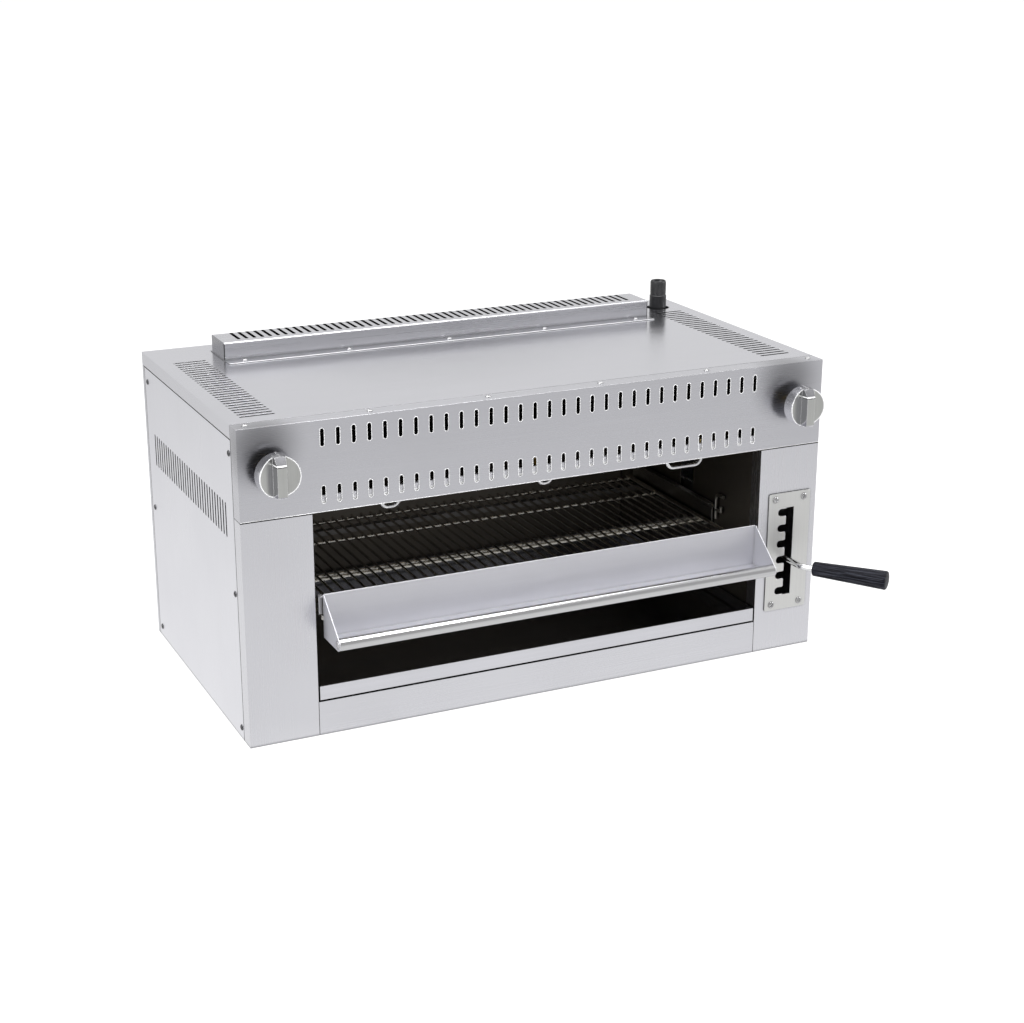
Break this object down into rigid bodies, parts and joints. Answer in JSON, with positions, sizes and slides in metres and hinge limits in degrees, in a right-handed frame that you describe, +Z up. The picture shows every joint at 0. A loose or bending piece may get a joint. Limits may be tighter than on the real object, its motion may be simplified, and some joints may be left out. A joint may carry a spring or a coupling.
{
  "type": "gas cheese melter",
  "caption": "Counter-top gas cheese melter with overhead infrared burners, spring-balanced lifting rack, notch plate and lever, slide-out rack with trough, and drip tray.",
  "frame": {"origin": "centre of the cabinet's underside", "axes": "+X to the right seen from the front, +Y towards the back, +Z up; the front faces -Y"},
  "size_m": [0.9609, 0.6331, 0.503],
  "materials": {
    "steel": "brushed",
    "satin_steel": "satin",
    "polished_steel": "polished",
    "dark_steel": "heat stained",
    "black_iron": "satin",
    "brass": "satin",
    "aluminium": "satin",
    "ceramic": "matte",
    "black_plastic": "satin"
  },
  "bodies": {
    "cabinet": {"base_pan": "steel", "corner_posts": "steel", "side_panel_left": "steel", "side_panel_right": "steel", "back_panel": "steel", "top_cover": "steel", "control_fascia": "steel", "pillar_left": "steel", "pillar_right": "steel", "lower_front_panel": "steel", "liner_left": "dark_steel", "liner_right": "dark_steel", "rear_liner": "dark_steel", "heat_shield": "dark_steel", "burner_deck": "dark_steel", "flue_riser": "steel", "flue_baffle": "dark_steel", "burner_left": "dark_steel", "burner_right": "dark_steel", "burner_tiles": "ceramic", "burner_screens": "dark_steel", "mixing_tubes": "aluminium", "gas_manifold": "black_iron", "supply_pipe": "black_iron", "pipe_elbows": "black_iron", "gas_inlet": "black_iron", "valve_left": "brass", "valve_right": "brass", "burner_feed_tubes": "aluminium", "burner_orifices": "brass", "pilot_valve": "brass", "pilot_tubes": "aluminium", "pilot_burners": "brass", "notch_plate": "satin_steel", "notch_plate_screws": "polished_steel", "top_screws": "polished_steel", "side_screws": "polished_steel", "tray_runners": "dark_steel", "shaft_brackets": "steel", "shaft_bushes": "brass", "spring_anchor": "steel", "lift_spring": "polished_steel", "leg_nuts": "steel"},
    "knob_left": {"stem_left": "brass", "knob_left": "polished_steel"},
    "knob_right": {"stem_right": "brass", "knob_right": "polished_steel"},
    "lift": {"lift_shaft": "dark_steel", "lift_arms": "dark_steel", "lever_hub": "dark_steel"},
    "lever": {"lever_rod": "polished_steel", "lever_grip": "black_plastic"},
    "carriage": {"carriage_plates": "dark_steel", "carriage_frame": "dark_steel", "carriage_rails": "satin_steel"},
    "links": {"stabiliser_links": "dark_steel"},
    "rack": {"rack_grid": "polished_steel", "rack_trough": "steel", "rack_handle": "polished_steel"},
    "tray": {"drip_tray": "steel"}
  },
  "joints": [
    {"name": "knob_left_turn", "type": "hinge", "parent": "cabinet", "child": "knob_left", "pos_m": [-0.41, -0.256, 0.396], "axis": [0, -1, 0], "range_deg": [0, 170]},
    {"name": "knob_right_turn", "type": "hinge", "parent": "cabinet", "child": "knob_right", "pos_m": [0.41, -0.256, 0.396], "axis": [0, -1, 0], "range_deg": [0, 170]},
    {"name": "lift", "type": "hinge", "parent": "cabinet", "child": "lift", "pos_m": [0, 0.218, 0.147], "axis": [-1, 0, 0], "range_deg": [-6.35, 9.48], "deforming": ["lift_spring"]},
    {"name": "lever_swing", "type": "hinge", "parent": "lift", "child": "lever", "pos_m": [0.40915, 0.165, 0.147], "axis": [0, 0, -1], "range_deg": [0, 1.99]},
    {"name": "carriage_tilt", "type": "hinge", "parent": "lift", "child": "carriage", "pos_m": [0, -0.021, 0.147], "axis": [-1, 0, 0], "range_deg": [-9.49, 6.36]},
    {"name": "link_turn", "type": "hinge", "parent": "cabinet", "child": "links", "pos_m": [0, 0.218, 0.202], "axis": [-1, 0, 0], "range_deg": [-6.36, 9.49]},
    {"name": "rack_slide", "type": "slide", "parent": "carriage", "child": "rack", "axis": [0, -1, 0], "range_m": [0, 0.24]},
    {"name": "tray_slide", "type": "slide", "parent": "cabinet", "child": "tray", "axis": [0, -1, 0], "range_m": [0, 0.4]}
  ],
  "couplings": [
    {"joint": "carriage_tilt", "follows": "lift", "ratio": -1},
    {"joint": "link_turn", "follows": "lift", "ratio": 1}
  ]
}
